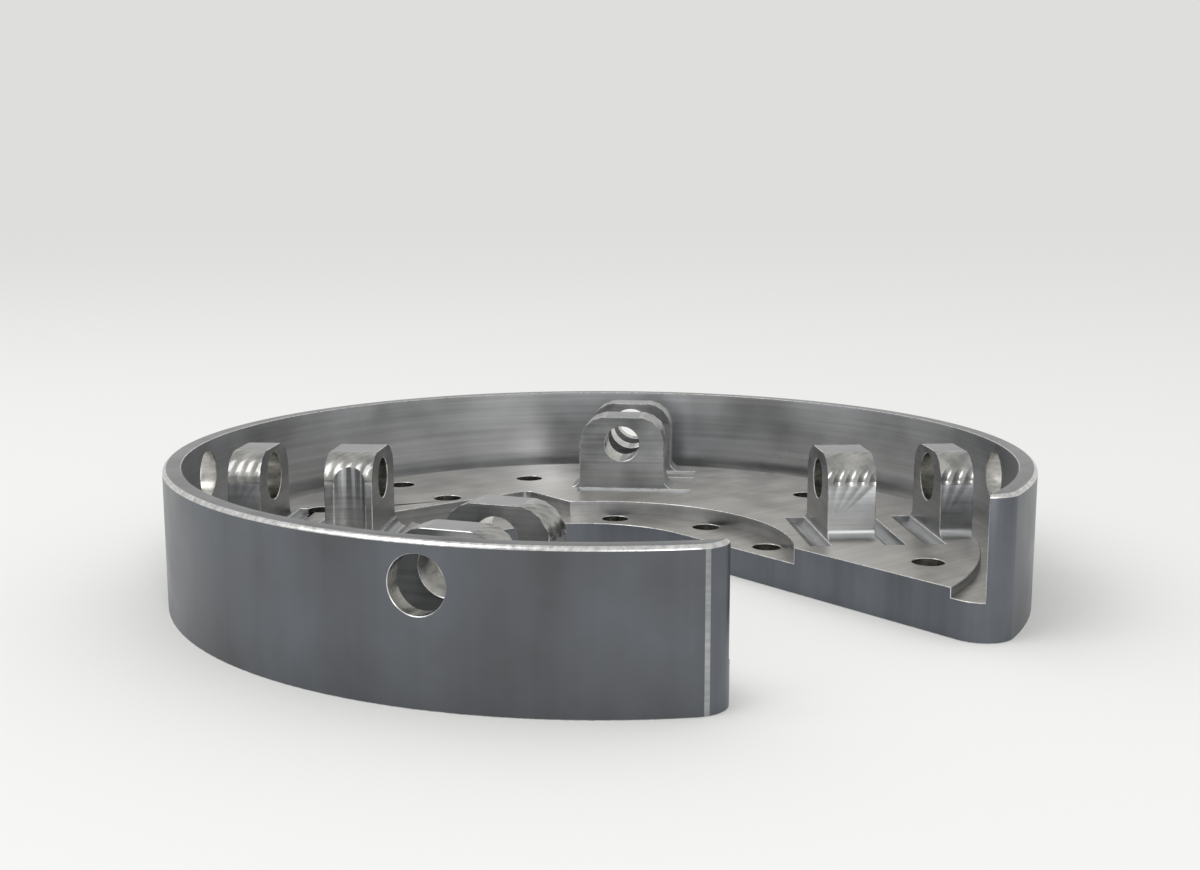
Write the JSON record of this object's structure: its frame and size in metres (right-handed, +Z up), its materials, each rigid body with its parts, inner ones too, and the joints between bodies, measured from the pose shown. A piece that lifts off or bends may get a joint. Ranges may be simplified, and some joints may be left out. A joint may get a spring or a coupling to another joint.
{
  "type": "cnc machined aluminium part",
  "caption": "Open-sided round tray housing machined from one aluminium billet, with a wide slot to its centre, pairs of bored lugs and a stepped recess.",
  "frame": {"origin": "axis of the round outer wall, in the plane of the flat underside", "axes": "+Z up out of the open tray, -Y out through the mouth of the slot, +X to the right seen from above with the slot towards the viewer"},
  "size_m": [0.25, 0.2433, 0.039],
  "materials": {
    "machined_aluminium": "as milled, satin, with fine cutter marks"
  },
  "bodies": {
    "root": {"ring_housing": "machined_aluminium"}
  },
  "joints": []
}
